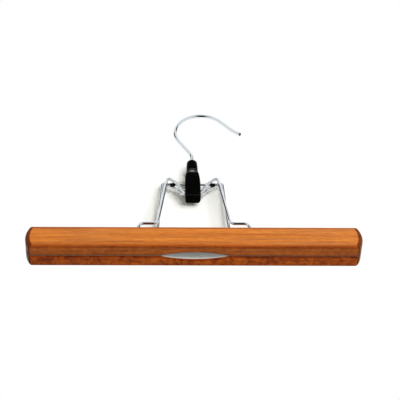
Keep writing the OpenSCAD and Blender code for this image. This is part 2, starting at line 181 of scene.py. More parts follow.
def ramp(tree, value, *stops):
    """Turns a number into a colour by stops of (place, colour), where a colour may be a grey."""
    node = add(tree, "ShaderNodeValToRGB", Fac=value)
    band = node.color_ramp
    while len(band.elements) < len(stops):
        band.elements.new(0.5)
    for element, (place, colour) in zip(band.elements, stops):
        element.position = place
        element.color = (*(colour if isinstance(colour, tuple) else (colour,) * 3), 1.0)
    return node.outputs["Color"]


def mix(tree, kind, factor, first, second):
    """Mixes two colours; each of the three may be a constant or an output."""
    node = add(tree, "ShaderNodeMix", data_type="RGBA", blend_type=kind)
    for index, value in ((0, factor), (6, first), (7, second)):
        connect(tree, value, node.inputs[index])
    return node.outputs[2]


def mix_shader(tree, factor, first, second):
    """Mixes two shaders: the first at factor 0, the second at factor 1."""
    node = add(tree, "ShaderNodeMixShader")
    for socket, value in zip(node.inputs, (factor, first, second)):
        connect(tree, value, socket)
    return node.outputs[0]


def calc(tree, operation, first, second=0.0):
    """One step of arithmetic."""
    node = add(tree, "ShaderNodeMath", operation=operation)
    connect(tree, first, node.inputs[0])
    connect(tree, second, node.inputs[1])
    return node.outputs[0]


def bump(tree, shader, height, distance, strength):
    """Fine relief from a height that runs from 0 to 1, distance metres deep."""
    node = add(tree, "ShaderNodeBump", Distance=distance, Strength=strength, Height=height)
    set_inputs(tree, shader, Normal=node.outputs["Normal"])


# %% [markdown]
# ## Wood
# The bars are a reddish beech-like wood under a clear lacquer. A picture of wood could be
# wrapped round them, but its grain would break at every edge. Noise in space runs through the
# bar as grain does. It is stretched hard along X, the way the wood grew. Short flecks, the rays
# of the wood, lie in upright sheets: they look like fine dashes on the front and like a mottle
# on the underside. Numbers stored on the bar mark its narrow faces, which carry painted shade,
# its rounded edges, which are made darker, and its cut ends, where the end grain looks darker.

# %% Wood material
def make_wood():
    """Stretched noise for the grain, others for streaks, rays and pores, under a thin lacquer."""
    material, tree, shader = new_material("lacquered_wood")
    broad = noise(tree, (6, 230, 190), 4.0, 0.55, 0.4)
    streak = noise(tree, (16, 420, 420), 2.0, 0.5, 0.3)
    fine = noise(tree, (34, 1000, 1200), 3.0, 0.6)
    rays = noise(tree, (150, 260, 1300), 2.0, 0.6)
    curl = noise(tree, (150, 110, 200), 4.0, 0.62, 1.2)
    pores = noise(tree, (110, 2600, 2600), 2.0, 0.5)
    colour = ramp(tree, broad, (0.30, (0.560, 0.166, 0.0290)), (0.48, (0.645, 0.208, 0.0400)),
                  (0.70, (0.705, 0.245, 0.0560)))
    bands = ramp(tree, streak, (0.36, (0.82, 0.84, 1.06)), (0.52, 1.0), (0.70, (1.07, 1.05, 0.88)))
    lines = ramp(tree, fine, (0.34, (0.84, 0.80, 0.76)), (0.60, 1.0))
    flecks = ramp(tree, rays, (0.36, (0.86, 0.80, 0.74)), (0.52, 1.0), (0.74, (1.05, 1.06, 1.06)))
    dots = ramp(tree, pores, (0.30, (0.70, 0.62, 0.56)), (0.42, 1.0))
    mottle = ramp(tree, curl, (0.38, (0.58, 0.30, 0.10)), (0.50, (0.98, 0.62, 0.20)),
                  (0.63, (1.26, 0.90, 0.34)))
    layers = ((1.0, bands), (1.0, lines), (1.0, flecks), (0.5, dots),
              (stored(tree, "mottled"), mottle),
              # painted shade: the narrow faces, top and underside, are darkened
              (stored(tree, "narrow_face_shade"), (0.84, 0.80, 0.80)),
              # the rounded edges are made darker
              (stored(tree, "edge"), (0.66, 0.50, 0.42)),
              (stored(tree, "end"), (0.40, 0.36, 0.36)))
    for strength, tint in layers:
        colour = mix(tree, "MULTIPLY", strength, colour, tint)
    set_inputs(tree, shader, Base_Color=colour, Specular_IOR_Level=0.07,
               Roughness=ramp(tree, fine, (0.3, 0.50), (0.7, 0.38)),
               Coat_Weight=0.03, Coat_Roughness=0.25)
    bump(tree, shader, fine, 0.04 * MM, 0.5)
    return material


wood = make_wood()
print("finish made:", wood.name)

# %% [markdown]
# ## Chrome and steel
# The frames and the hook are chrome plated, and the pin and the washer are plain plated steel.
# Chrome has hardly a colour of its own: it shows what is round it. A perfect mirror would look
# false on wire this thin, so a smudge changes its roughness from place to place, and fine marks
# break up its reflections. The hook is a little duller than the frames. Its end was cut off
# after plating, so a number stored on the wire turns it dark there.

# %% Metal finishes
def make_chrome(name, tint, roughness, contrast):
    """Metal whose roughness varies a little, with fine marks; a stored cut shows dark."""
    material, tree, shader = new_material(name)
    smudge = noise(tree, (160, 160, 160))
    marks = noise(tree, (1500, 1500, 1500), 2.0)
    shade = ramp(tree, smudge, (0.3, tuple(c * 0.93 for c in tint)), (0.7, tint))
    set_inputs(tree, shader, Metallic=1.0,
               Base_Color=mix(tree, "MIX", stored(tree, "cut"), shade, (0.06, 0.06, 0.065)),
               Roughness=ramp(tree, smudge, (0.3, roughness), (0.75, roughness + contrast)))
    bump(tree, shader, marks, 0.004 * MM, 0.4)
    return material


chrome = make_chrome("chrome_wire", (0.86, 0.88, 0.90), roughness=0.05, contrast=0.06)
hook_chrome = make_chrome("satin_chrome", (0.95, 0.97, 0.98), roughness=0.12, contrast=0.05)
steel = make_chrome("plated_steel", (0.60, 0.61, 0.62), roughness=0.24, contrast=0.10)
print("finishes made:", chrome.name, hook_chrome.name, steel.name)

# %% [markdown]
# ## Plastic
# The push cap and the lock body are moulded from black plastic, which reflects very little.
# Only its rims catch the light. Real rounds on the rims would do that by themselves, but they
# are thinner than a pixel, so each bright rim is a painted highlight: a lighter band of height in
# the colour. The stem between them is grey.

# %% Plastic finishes
def make_plastic(name, colour, roughness, painted_highlights=()):
    """Moulded plastic: nearly flat colour, slight waves and a varying gloss. Painted highlights on
    edges that catch the light are given as (lowest z, highest z, grey level)."""
    material, tree, shader = new_material(name)
    waves = noise(tree, (260, 260, 260), 2.0)
    fine = noise(tree, (2200, 2200, 2200), 2.0)
    shade = ramp(tree, waves, (0.3, tuple(c * 0.8 for c in colour)),
                 (0.7, tuple(c * 1.2 for c in colour)))
    height = coordinate(tree, "Z")
    # Each band is a painted highlight: near its middle height the colour turns to its grey
    for low, high, grey in painted_highlights:
        off = calc(tree, "ABSOLUTE", calc(tree, "SUBTRACT", height, (low + high) / 2))
        near = ramp(tree, calc(tree, "DIVIDE", off, (high - low) / 2), (0.35, 1.0), (1.0, 0.0))
        shade = mix(tree, "MIX", near, shade, (0.95 * grey, grey, 0.97 * grey))
    set_inputs(tree, shader, Base_Color=shade, Specular_IOR_Level=0.012,
               Roughness=ramp(tree, fine, (0.3, roughness), (0.7, roughness + 0.08)))
    bump(tree, shader, fine, 0.006 * MM, 0.4)
    return material


BLACK, GREY = (0.0004, 0.0005, 0.0005), (0.34, 0.36, 0.35)
# Painted highlights on the cap's lip and on the lock body's top and bottom rims
cap_lip_highlight = (-67.1 * MM, -66.4 * MM, 0.06)
body_rim_highlights = ((-70.9 * MM, -69.0 * MM, 0.06), (-98.2 * MM, -97.2 * MM, 0.010))
plastic = make_plastic("black_plastic", BLACK, roughness=0.16, painted_highlights=[cap_lip_highlight])
body_plastic = make_plastic("black_body", BLACK, roughness=0.16, painted_highlights=body_rim_highlights)
stem_plastic = make_plastic("grey_stem", GREY, roughness=0.3)
print("finishes made:", plastic.name, body_plastic.name, stem_plastic.name)

# %% [markdown]
# ## Sleeves of the pin
# A short black sleeve sits on each end of the pin, and its outer end shows bare metal. Two
# pieces could carry the two finishes, but each sleeve is one solid, so the distance from the
# middle plane decides between matt black and bare metal.

# %% Sleeve finish
def make_sleeve(black_end):
    """Matt black up to black_end from the middle plane, and bare metal beyond it."""
    material, tree, shader = new_material("sleeve")
    rub = noise(tree, (1200, 300, 300), 2.0)
    bare = calc(tree, "GREATER_THAN", calc(tree, "ABSOLUTE", coordinate(tree, "X")), black_end)
    black = ramp(tree, rub, (0.3, 0.002), (0.7, 0.004))
    set_inputs(tree, shader, Base_Color=mix(tree, "MIX", bare, black, (0.72, 0.74, 0.75)),
               Metallic=bare, Roughness=ramp(tree, rub, (0.3, 0.24), (0.7, 0.36)),
               Specular_IOR_Level=0.1)
    bump(tree, shader, rub, 0.01 * MM, 0.4)
    return material


sleeve_black = make_sleeve(black_end=18.2 * MM)
print("finish made:", sleeve_black.name)

# %% [markdown]
# ## Felt finish
# White felt lines the bars and shows where they are hollowed. Thousands of hairs could stand
# for its fibres, but at this size a tangled relief and a soft sheen look the same. Near its rim,
# in the narrow gap between the bars, it carries painted shade with a painted wood-brown bounce
# of light, and deep in the hollow it carries painted shade.

# %% Felt material
def make_felt():
    """White fibres: fine colour variation, sheen and a tangled relief."""
    material, tree, shader = new_material("white_felt")
    tangle = noise(tree, (2400, 2400, 2400), 4.0, 0.65, 0.8)
    cloud = noise(tree, (160, 160, 160))
    colour = ramp(tree, tangle, (0.3, (0.84, 0.85, 0.85)), (0.65, (0.96, 0.97, 0.97)))
    layers = ((1.0, ramp(tree, cloud, (0.3, (0.93, 0.93, 0.92)), (0.7, 1.0))),
              # painted shade of the narrow gap, with a painted wood-brown bounce of light, along
              # the rim
              (stored(tree, "pressed"), (0.40, 0.22, 0.12)),
              # painted shade deep in the hollow
              (stored(tree, "deep"), (0.16, 0.19, 0.20)))
    for strength, tint in layers:
        colour = mix(tree, "MULTIPLY", strength, colour, tint)
    set_inputs(tree, shader, Base_Color=colour, Roughness=0.95, Specular_IOR_Level=0.2,
               Sheen_Weight=0.1, Sheen_Roughness=0.5)
    bump(tree, shader, tangle, 0.18 * MM, 0.8)
    return material


felt = make_felt()
print("finish made:", felt.name)

# %% [markdown]
# ## Bent wire
# Both frames and the hook are round wire bent on a former. A curve object with a round bevel
# could draw them, but its bends would be splines, and a wire bender makes true arcs. So a path
# is written as the corners that the wire would have if its bends were sharp, and each corner is
# rounded by an arc that touches both neighbours. The tube is a ring carried along the path
# without twisting.

# %% Paths of wire
def unit(v):
    """The vector's direction."""
    return v / np.linalg.norm(v)


def rounded_path(corners, radii):
    """Arcs of the given radii at the corners: with tangent length r tan(turn / 2) on each side,
    the arc's points are centre - n r cos(a) + u r sin(a) for a from 0 to the turn."""
    step = math.radians(4)
    corners = np.asarray(corners, float)
    points = [corners[0]]
    for before, corner, after, radius in zip(corners, corners[1:], corners[2:], radii[1:]):
        u, w = unit(corner - before), unit(after - corner)
        turn = math.acos(float(np.clip(u @ w, -1, 1)))
        n = unit(w - u * (u @ w))
        centre = corner - u * radius * math.tan(turn / 2) + n * radius
        a = np.linspace(0, turn, max(3, int(turn / step) + 1))[:, None]
        points.extend(centre - n * radius * np.cos(a) + u * radius * np.sin(a))
    points.append(corners[-1])
    return spread_out(np.array(points))


def spread_out(points, longest=1.2 * MM):
    """Adds points on long straight stretches, so that no step is longer than that."""
    out = [points[:1]]
    for a, b in zip(points, points[1:]):
        count = max(1, int(np.ceil(np.linalg.norm(b - a) / longest)))
        out.append(a + (b - a) * (np.arange(1, count + 1) / count)[:, None])
    return np.vstack(out)


# %% Tubes
def tube(name, points, radius, material, sides=28, round_end=False):
    """Rings p(s) + r (n cos(v) + b sin(v)) along the path, with n carried along unturned.
    An end is closed by rings that shrink as a flat disc with a small round, or as a dome."""
    tangents = np.gradient(points, axis=0)
    tangents /= np.linalg.norm(tangents, axis=1)[:, None]
    normals = np.zeros_like(points)
    depthways = np.array([0.0, 1.0, 0.0])
    normals[0] = unit(depthways - tangents[0] * (depthways @ tangents[0]))
    for i in range(1, len(points)):
        normals[i] = unit(normals[i - 1] - tangents[i] * (normals[i - 1] @ tangents[i]))
    v = np.linspace(0, 2 * math.pi, sides, endpoint=False)
    around = np.stack([np.cos(v), np.sin(v)], axis=1)
    dome = np.radians(np.linspace(0, 84, 8))
    small_round = 0.15 * radius

    def closing_rings(index, outward, depth):
        shrink = radius - depth * (1 - np.cos(dome))
        return [(points[index] + outward * tangents[index] * (depth * (math.sin(a) - 1)), s, index)
                for a, s in zip(dome, shrink)]

    end_depth = radius if round_end else small_round
    along = np.concatenate([[0], np.cumsum(np.linalg.norm(np.diff(points, axis=0), axis=1))])
    rings = [(point, radius, i) for i, (point, s) in enumerate(zip(points, along))
             if small_round < s < along[-1] - end_depth]
    rings = (closing_rings(0, -1, small_round)[::-1] + rings
             + closing_rings(len(points) - 1, 1, end_depth))
    cloud = []
    for centre, r, index in rings:
        binormal = np.cross(tangents[index], normals[index])
        cloud.append(centre + r * (around[:, :1] * normals[index] + around[:, 1:] * binormal))
    cloud += [points[:1], points[-1:]]
    faces = grid_faces(len(rings), sides) + fans(len(rings), sides)
    return make_mesh(name, np.vstack(cloud), faces, material)


# %% [markdown]
# ## The two frames
# Each frame is one length of wire. From the middle of its V, which turns in the lock body, it
# climbs to an ear, comes down a long leg, steps outward on a foot and ends in a peg in its bar.
# The ears lean towards each other, so that the pin rising between them pushes them apart and
# closes the bars below. The rear frame's ears stand further out, so the ears can pass. Each
# side could be drawn as its own wire, but a frame is the same on both sides, so half a path is
# worked out and mirrored. Heights on a frame are levers: they are measured from its pivot.

# %% Sizes of the frames
OPEN_ANGLE, STROKE, PIN_LEVER = math.radians(4), 2.8 * MM, 9 * MM
SLEEVE_DIAMETER, WEDGE_GAP = 2.8 * MM, 0.15 * MM
SPREAD_AT_PIN = (SLEEVE_DIAMETER + FRAME_WIRE) / 2 + WEDGE_GAP
EAR_LEAN = math.sin(OPEN_ANGLE) * (PIN_LEVER - STROKE) / STROKE
BODY_WIDTH, SIDE_GAP = 12.6 * MM, 0.3 * MM
KNEE_DROP, KNEE_REACH, LEG_REACH, PEG_REACH = 0.3 * MM, 3.4 * MM, 28.6 * MM, 43.1 * MM
KNEE_LEVER = PIN_LEVER - STROKE - KNEE_DROP
FOOT_RISE, PEG_DEPTH = 8.7 * MM, 12 * MM
FOOT_LEVER = BAR_TOP + FOOT_RISE - PIVOT_Z
PIVOT_BEND, KNEE_BEND, EAR_BEND = 3 * MM, 5 * MM, 1.7 * MM
LEG_BEND, FOOT_BEND = 20 * MM, 4 * MM
print("the ears lean by, degrees:", round(math.degrees(math.atan(EAR_LEAN)), 1))


# %% Half a frame
def spread(lever):
    """How far the wire stands from the middle plane at a height above the pivots."""
    return SPREAD_AT_PIN + (PIN_LEVER - lever) * EAR_LEAN


def half_frame(ear_reach, ear_rise):
    """Corners and bend radii from the middle of the V to the end of the peg, for the rear side.
    The ear's corner lies bend / cos(half turn) from the centre of its bend, between both ways."""
    start_x = BODY_WIDTH / 2 + SIDE_GAP + FRAME_WIRE / 2
    knee = np.array([start_x + KNEE_REACH, KNEE_LEVER])
    tip = np.array([ear_reach, ear_rise])
    foot = np.array([LEG_REACH, FOOT_LEVER])
    # Close enough to the way from the tip to the corner for the directions of rise and fall
    to_corner = EAR_BEND * np.array([0.65, 1.12])
    rise = unit(tip - knee + to_corner)
    fall = unit(foot - tip - to_corner)
    half_turn = math.acos(float(rise @ fall)) / 2
    corner = tip - np.array([0, EAR_BEND]) + unit(rise - fall) * EAR_BEND / math.cos(half_turn)
    part = (corner[1] - KNEE_LEVER) / (corner[1] - FOOT_LEVER)
    leg_knee_x = corner[0] + (foot[0] - corner[0]) * part
    corners = [(0, PIVOT_SPACING / 2, 0),
               (start_x, PIVOT_SPACING / 2, 0),
               (knee[0], spread(KNEE_LEVER), KNEE_LEVER),
               (corner[0], spread(corner[1]), corner[1]),
               (leg_knee_x, spread(KNEE_LEVER), KNEE_LEVER),
               (LEG_REACH, BAR_MIDDLE, FOOT_LEVER),
               (PEG_REACH, BAR_MIDDLE, FOOT_LEVER),
               (PEG_REACH, BAR_MIDDLE, BAR_TOP - PEG_DEPTH - PIVOT_Z)]
    return corners, [0, PIVOT_BEND, KNEE_BEND, EAR_BEND, LEG_BEND, FOOT_BEND, FOOT_BEND, 0]


# %% Frame wires
def frame_wire(name, ear_reach, ear_rise, side):
    """The whole wire: the mirrored half joined to the half, moved to its own pivot."""
    path = rounded_path(*half_frame(ear_reach, ear_rise))
    path = np.vstack([path[:0:-1] * [-1, 1, 1], path])
    path = path * [1, side, 1] + [0, 0, PIVOT_Z]
    length = np.linalg.norm(np.diff(path, axis=0), axis=1).sum()
    print(name, "is bent from", round(length / MM), "mm of wire")
    return tube(name, path, FRAME_WIRE / 2, chrome)


front_wire = frame_wire("front_frame_wire", ear_reach=19 * MM, ear_rise=13.8 * MM, side=-1)
rear_wire = frame_wire("rear_frame_wire", ear_reach=22.7 * MM, ear_rise=12.5 * MM, side=1)
for piece, node, body in ((front_wire, "front_frame", "front_jaw"),
                          (rear_wire, "rear_frame", "rear_jaw")):
    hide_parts(node)
    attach(piece, body)

# %% [markdown]
# ## The hook
# A thicker wire, headed at its lower end inside the cap, leans out to one side so that the bow
# comes over the middle, and turns back at the tip. Its corners could be listed as for the
# frames, but the bow turns by more than half a circle, where sharp corners would lie far away.
# So the path is laid as a walk: straight, turn left or right on a radius, straight again.

# %% A walk in a plane
def walk(start, heading, steps):
    """Points of a walk in the XZ plane. Each step is (straight, radius, turn), and a turn to
    the left is positive."""
    place, points = np.array(start, float), [np.array(start, float)]
    for straight, radius, turn in steps:
        place = place + straight * np.array([math.cos(heading), math.sin(heading)])
        points.append(place)
        if turn:
            side = math.copysign(1, turn)
            centre = place + side * radius * np.array([-math.sin(heading), math.cos(heading)])
            for a in np.linspace(0, turn, max(4, int(abs(turn) / math.radians(3))))[1:]:
                angle = heading + a - side * math.pi / 2
                points.append(centre + radius * np.array([math.cos(angle), math.sin(angle)]))
            place, heading = points[-1], heading + turn
    points = np.array(points)
    # A straight of no length leaves its point twice; such a point is kept once
    moved = np.linalg.norm(np.diff(points, axis=0), axis=1) > 1e-7
    flat = points[np.concatenate([[True], moved])]
    return spread_out(np.stack([flat[:, 0], np.zeros(len(flat)), flat[:, 1]], axis=1))


# %% Hook wire
HOOK_INNER_RADIUS, HOOK_OFFSET = 20.1 * MM, 8.5 * MM
HOOK_RADIUS = HOOK_INNER_RADIUS + HOOK_WIRE / 2
SHANK_LEAN, BOW_END, FLARE = math.radians(31), math.radians(41), math.radians(16)
NECK_BEND, FLARE_BEND = 9 * MM, 20 * MM
NOSE_LENGTH, TIP_LENGTH = 12.6 * MM, 5.1 * MM
BOW_CENTRE_Z = -math.sqrt(HOOK_INNER_RADIUS ** 2 - HOOK_OFFSET ** 2)
HEAD_ROUND = 0.2 * MM
head_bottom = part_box("hook")[0].z
start_z = head_bottom + HEAD_ROUND
bow_start_x = HOOK_OFFSET - HOOK_RADIUS * math.cos(SHANK_LEAN)
bow_start_z = BOW_CENTRE_Z - HOOK_RADIUS * math.sin(SHANK_LEAN)
shank = -bow_start_x / math.sin(SHANK_LEAN)
neck_z = bow_start_z - shank * math.cos(SHANK_LEAN)
neck_taken = NECK_BEND * math.tan(SHANK_LEAN / 2)
hook_path = walk((0, start_z), math.pi / 2, [
    (neck_z - neck_taken - start_z, NECK_BEND, SHANK_LEAN),
    (shank - neck_taken, HOOK_RADIUS, -(math.pi + SHANK_LEAN - BOW_END)),
    (NOSE_LENGTH, FLARE_BEND, FLARE),
    (TIP_LENGTH, 0, 0)])
hook_wire = tube("hook_wire", hook_path, HOOK_WIRE / 2, hook_chrome, sides=36, round_end=True)
hook_points = np.array([v.co for v in hook_wire.data.vertices])
to_tip = (hook_path[-1] - hook_points) @ unit(hook_path[-1] - hook_path[-2])
store(hook_wire, "cut", fade(to_tip, 0.55 * HOOK_WIRE / 2, 0.2 * MM))

# %% [markdown]
# ## Turned pieces
# The hook's head, pressed up from the wire inside the cap, and the cap itself are round. The
# Spin tool or a Screw modifier could turn their profiles about the swivel axis. Here the rings
# are worked out at once, which leaves no doubled points where the turn closes. A profile is a
# list of radius and height, walked round once with the piece on its left.

# %% Turning helpers
def turned(name, profile, material, sides=72):
    """Points (r cos v, r sin v, z) for each point of a closed profile of (radius, height)."""
    profile = np.asarray(profile, float)
    rows = len(profile)
    v = np.linspace(0, 2 * math.pi, sides, endpoint=False)
    cloud = np.stack([profile[:, :1] * np.cos(v), profile[:, :1] * np.sin(v),
                      np.repeat(profile[:, 1:], sides, axis=1)], axis=-1)
    first = np.arange(sides)
    after = (first + 1) % sides
    last = (rows - 1) * sides
    closing = np.stack([last + first, last + after, after, first], axis=-1)
    faces = grid_faces(rows, sides) + [tuple(quad) for quad in closing]
    return make_mesh(name, cloud.reshape(-1, 3), faces, material)


def arc(centre, radius, start, end, count=8):
    """Points of an arc in a profile, angles in degrees."""
    a = np.radians(np.linspace(start, end, count))
    return [(centre[0] + radius * math.cos(t), centre[1] + radius * math.sin(t)) for t in a]


# %% Hook head
HEAD_RADIUS, HEAD_CORE = 2.7 * MM, 0.3 * MM
HEAD_TOP = head_bottom + 1.4 * MM
round_x = HEAD_RADIUS - HEAD_ROUND
head = turned("hook_head", [(HEAD_CORE, head_bottom)]
              + arc((round_x, head_bottom + HEAD_ROUND), HEAD_ROUND, -90, 0)
              + arc((round_x, HEAD_TOP - HEAD_ROUND), HEAD_ROUND, 0, 90)
              + [(HEAD_CORE, HEAD_TOP)], hook_chrome)
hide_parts("hook")
for piece in (hook_wire, head):
    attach(piece, "hanging_hook")

# %% [markdown]
# ## Push cap
# A thumb on this cap presses the pin down and opens the hanger. The cap's solid could stay, but
# turned again from the same sizes it has a finer dome and lip. Its lip ends a hair above the
# solid's, so that it doesn't sink into the lock body at the end of the stroke.

# %% Push cap
LIP_CLEARANCE = 0.02 * MM
CAP_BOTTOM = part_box("push_cap")[0].z + LIP_CLEARANCE
CAP_HEIGHT, CAP_LEAN, CROWN_RADIUS = 11.9 * MM, 0.4 * MM, 1.7 * MM
CAP_RADIUS, BORE_RADIUS = 4.7 * MM, 3.2 * MM
SIDE_HEIGHT = CAP_HEIGHT - CROWN_RADIUS
SIDE_RADIUS = (SIDE_HEIGHT ** 2 + CAP_LEAN ** 2) / (2 * CAP_LEAN)
CEILING_Z = -61.2 * MM
HOLE_RADIUS = HOOK_WIRE / 2 + 0.2 * MM
OUTER_LIP, INNER_LIP = 0.35 * MM, 0.3 * MM
SIDE_END, HOLE_EDGE_OUT, HOLE_EDGE_DOWN = 0.3 * MM, 0.04 * MM, 0.06 * MM


def cap_profile():
    """Bore, lip, a side r = R - S + sqrt(S^2 - z^2) that leans in, the round shoulder, the hole."""
    z = np.linspace(OUTER_LIP, SIDE_HEIGHT - SIDE_END, 24)
    side = CAP_RADIUS - SIDE_RADIUS + np.sqrt(SIDE_RADIUS ** 2 - z ** 2)
    outer = [(r, CAP_BOTTOM + h) for r, h in zip(side, z)]
    crown_x = CAP_RADIUS - CAP_LEAN - CROWN_RADIUS
    crown = arc((crown_x, CAP_BOTTOM + SIDE_HEIGHT), CROWN_RADIUS, 4, 88, 18)
    outer_lip = arc((CAP_RADIUS - OUTER_LIP, CAP_BOTTOM + OUTER_LIP), OUTER_LIP, -90, -10, 6)
    inner_lip = arc((BORE_RADIUS + INNER_LIP, CAP_BOTTOM + INNER_LIP), INNER_LIP, 180, 270, 5)
    top = CAP_BOTTOM + CAP_HEIGHT
    rim = [(HOLE_RADIUS + HOLE_EDGE_OUT, top), (HOLE_RADIUS, top - HOLE_EDGE_DOWN)]
    hollow = [(HOLE_RADIUS, CEILING_Z), (BORE_RADIUS, CEILING_Z)]
    return inner_lip + outer_lip + outer + crown + rim + hollow


cap = turned("push_cap_shell", cap_profile(), plastic, sides=96)
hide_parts("push_cap")
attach(cap, "plunger")

# %% [markdown]
# ## Wooden bars
# A bar is planed from one length of wood. The ends bulge a little, the outer corners are
# rounded in plan, and the inner face is hollowed at the middle to take the thick seam of the
# trousers. A block with bevels could be cut by other shapes, but the cuts would leave uneven
# faces that shade badly. So the cross-section, a rectangle with rounded edges, is carried along
# the bar, and two formulas say how deep the hollow is and how far the end reaches.

# %% Section of a bar
INNER_EDGE, OUTER_EDGE, END_EDGE = 1.1 * MM, 1.5 * MM, 0.8 * MM
PER_CORNER, PER_SIDE = 9, 10


def bar_section():
    """Rounded rectangle in YZ, walked round once: its points, the way out at each, and 1 on
    the rounded edges or 0 on the flat faces."""
    corners = [(BAR_INNER + INNER_EDGE, BAR_BOTTOM + INNER_EDGE, INNER_EDGE, 180),
               (BAR_OUTER - OUTER_EDGE, BAR_BOTTOM + OUTER_EDGE, OUTER_EDGE, 270),
               (BAR_OUTER - OUTER_EDGE, BAR_TOP - OUTER_EDGE, OUTER_EDGE, 0),
               (BAR_INNER + INNER_EDGE, BAR_TOP - INNER_EDGE, INNER_EDGE, 90)]
    points, ways = [], []
    for (y, z, radius, start), following in zip(corners, corners[1:] + corners[:1]):
        a = np.radians(start + np.linspace(0, 90, PER_CORNER))
        way = np.stack([np.cos(a), np.sin(a)], axis=1)
        points.extend(np.array([y, z]) + radius * way)
        ways.extend(way)
        finish = np.array(following[:2]) + following[2] * way[-1]
        corner_end = points[-1]
        for t in np.linspace(0, 1, PER_SIDE + 2)[1:-1]:
            points.append(corner_end * (1 - t) + finish * t)
            ways.append(way[-1])
    edges = np.tile([1.0] * PER_CORNER + [0.0] * PER_SIDE, len(corners))
    return np.array(points), np.array(ways), edges


RING, RING_WAY, RING_EDGE = bar_section()
print("points round a bar:", len(RING))

# %% Hollow and ends of a bar
RELIEF_WIDTH, RELIEF_DEPTH = 53 * MM, 3.3 * MM
RELIEF_RADIUS = ((RELIEF_WIDTH / 2) ** 2 + RELIEF_DEPTH ** 2) / (2 * RELIEF_DEPTH)
END_BULGE, CORNER_RADIUS = 3.1 * MM, 3 * MM
SECTION_MIDDLE = np.array([BAR_MIDDLE, BAR_BOTTOM + BAR_HEIGHT / 2])


def relief(x):
    """Depth of the hollow at x: RELIEF_RADIUS arc with its deepest point at the middle."""
    depth = np.sqrt(np.maximum(RELIEF_RADIUS ** 2 - x ** 2, 0)) - (RELIEF_RADIUS - RELIEF_DEPTH)
    return np.maximum(depth, 0)


def end_reach(y, z):
    """Half length at a place of the end: bulged in height, rounded in plan at the outer corner."""
    radius = ((BAR_HEIGHT / 2) ** 2 + END_BULGE ** 2) / (2 * END_BULGE)
    bulge = radius - np.sqrt(np.maximum(radius ** 2 - (z - SECTION_MIDDLE[1]) ** 2, 0))
    # Just short of a quarter turn, where the round would run straight along the bar
    into = np.clip(y - (BAR_OUTER - CORNER_RADIUS), 0, CORNER_RADIUS * 0.999)
    corner = CORNER_RADIUS - np.sqrt(CORNER_RADIUS ** 2 - into ** 2)
    return BAR_LENGTH / 2 - bulge - corner


print("the hollow's radius, mm:", round(RELIEF_RADIUS / MM, 1))

# %% Rings of a bar
LONG_PART, IN_HOLLOW, BESIDE_HOLLOW = 0.93, 121, 40
NEARING = (0.3, 0.55, 0.72, 0.82, 0.88, 0.92, 0.95, 0.975)
ROUNDING, CLOSING, LAST_RING = 8, 13, 0.04
print("rings at each end:", len(NEARING) + ROUNDING + CLOSING)


def long_rings():
    """Rings (x, y, z) along the bar, close in the hollow, where the inner face is set back."""
    hollow = np.linspace(-1, 1, IN_HOLLOW) * RELIEF_WIDTH / 2
    rest = np.linspace(RELIEF_WIDTH / 2, BAR_LENGTH / 2 * LONG_PART, BESIDE_HOLLOW)[1:]
    y, z = RING.T
    share = np.clip((BAR_OUTER - OUTER_EDGE - y) / (BAR_THICKNESS - OUTER_EDGE - INNER_EDGE), 0, 1)
    return [np.column_stack([np.full(len(RING), x), y + share * relief(x), z])
            for x in np.concatenate([-rest[::-1], hollow, rest])]


def end_rings(start):
    """Rings from x = start ever closer to the end, round its edge and in to its middle."""
    reach = end_reach(*RING.T) - END_EDGE
    rings = [np.column_stack([start + (reach - start) * part, RING]) for part in NEARING]
    for a in np.radians(np.linspace(0, 90, ROUNDING)):
        moved = RING - RING_WAY * END_EDGE * (1 - math.cos(a))
        rings.append(np.column_stack([end_reach(*moved.T) - END_EDGE * (1 - math.sin(a)), moved]))
    last = rings[-1][:, 1:]
    for q in np.linspace(1, LAST_RING, CLOSING + 1)[1:]:
        moved = SECTION_MIDDLE + (last - SECTION_MIDDLE) * q
        rings.append(np.column_stack([end_reach(*moved.T), moved]))
    return rings


# %% Bars
DARK_END, DARK_END_FADE = 1.0 * MM, 0.5 * MM
NARROW_BAND, NARROW_FADE = 1.2 * MM, 0.6 * MM
REAR_MOTTLE, FRONT_MOTTLE = 1.0, 0.45


def make_bar(name, side):
    """The long rings between both ends' rings, with a point in the middle of each end."""
    middle = long_rings()
    ends = end_rings(middle[-1][0, 0])
    rows = [row * [-1, 1, 1] for row in ends[::-1]] + middle + ends
    reach = end_reach(*SECTION_MIDDLE)
    tips = [[-reach, *SECTION_MIDDLE], [reach, *SECTION_MIDDLE]]
    cloud = np.vstack([*rows, tips]) * [1, side, 1]
    faces = grid_faces(len(rows), len(RING)) + fans(len(rows), len(RING))
    if side < 0:
        faces = [f[::-1] for f in faces]
    bar = make_mesh(name, cloud, faces, wood)
    # The rounded edges, along the bar and round its ends, are made darker
    round_end = [0.0] * len(NEARING) + [1.0] * ROUNDING + [0.0] * CLOSING
    darkened_rounds = [np.maximum(RING_EDGE, e) for e in round_end[::-1] + [0.0] * len(middle) + round_end]
    store(bar, "edge", np.concatenate([*darkened_rounds, [0.0, 0.0]]))
    y, z = np.abs(cloud[:, 1]), cloud[:, 2]
    to_end = end_reach(y, z) - np.abs(cloud[:, 0])
    store(bar, "end", fade(to_end, DARK_END, DARK_END_FADE))
    # Painted shade on the narrow faces; the same band also carries the mottle of the grain
    narrow = fade(np.minimum(z - BAR_BOTTOM, BAR_TOP - z), NARROW_BAND, NARROW_FADE)
    store(bar, "narrow_face_shade", narrow)
    store(bar, "mottled", narrow * (REAR_MOTTLE if side > 0 else FRONT_MOTTLE))
    return bar


front_bar = make_bar("front_bar_wood", -1)
rear_bar = make_bar("rear_bar_wood", 1)
for piece, node, body in ((front_bar, "front_bar", "front_jaw"),
                          (rear_bar, "rear_bar", "rear_jaw")):
    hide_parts(node)
    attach(piece, body)

